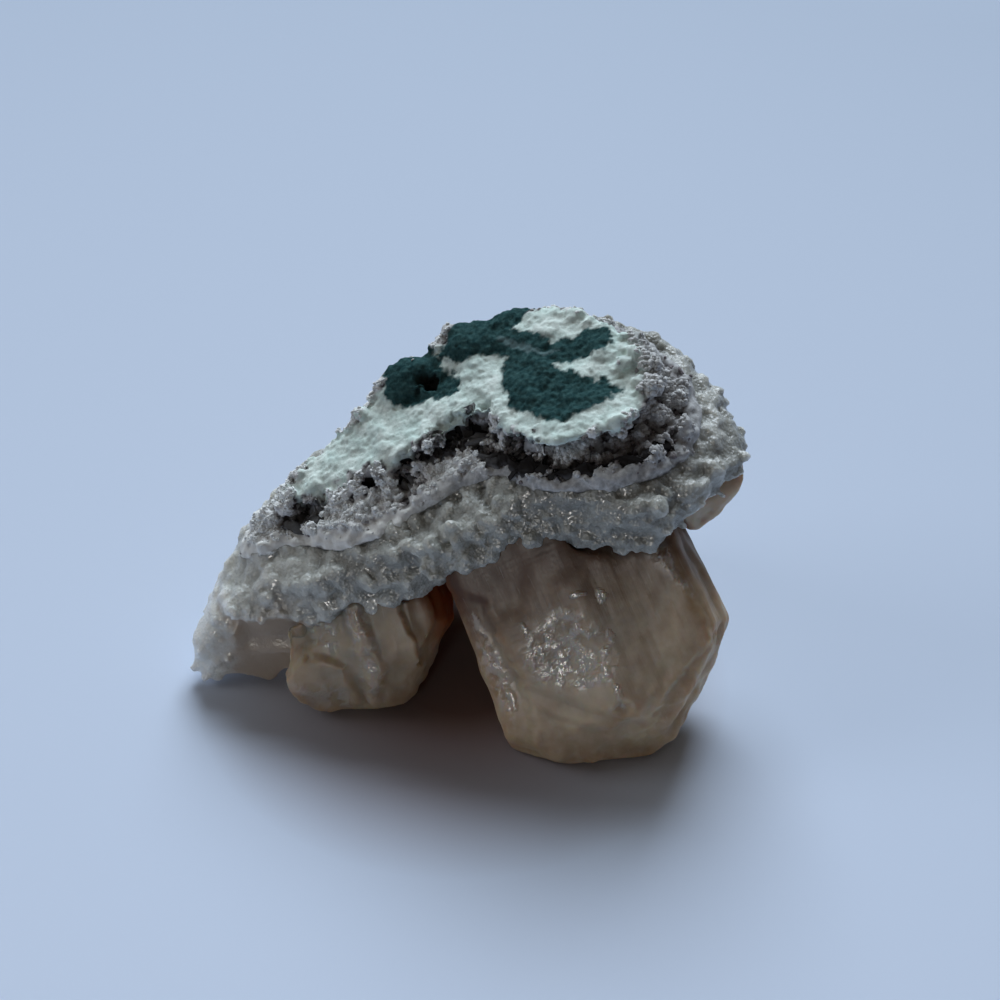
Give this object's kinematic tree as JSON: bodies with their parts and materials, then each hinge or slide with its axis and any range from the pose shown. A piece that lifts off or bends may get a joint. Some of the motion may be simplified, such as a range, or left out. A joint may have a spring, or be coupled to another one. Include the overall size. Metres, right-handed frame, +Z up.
{
  "type": "stilbite cluster",
  "caption": "Mineral specimen: a rough green and grey rock crust over white drusy crystals, with peach stilbite sheaves growing down from it as legs.",
  "frame": {"origin": "under the middle of the whole cluster's box, on the surface that it lies on", "axes": "+X along the cluster from its low thin end to its high end, +Y from the big front sheaf to the back, +Z up"},
  "size_m": [0.085, 0.0564, 0.0527],
  "materials": {
    "altered_rock": "rough stone, pale mint crust with dark green and grey patches",
    "drusy_white": "small milky white crystals",
    "stilbite_main_peach": "translucent peach crystal with a pearly broad face",
    "stilbite_left_peach": "translucent pale peach crystal",
    "stilbite_right_peach": "translucent peach crystal",
    "stilbite_back_peach": "translucent peach crystal",
    "stilbite_back_left_peach": "translucent pale peach crystal"
  },
  "bodies": {
    "root": {"rock_crust": "altered_rock", "white_druse": "drusy_white", "stilbite_main": "stilbite_main_peach", "stilbite_left": "stilbite_left_peach", "stilbite_right": "stilbite_right_peach", "stilbite_back": "stilbite_back_peach", "stilbite_back_left": "stilbite_back_left_peach"}
  },
  "joints": []
}
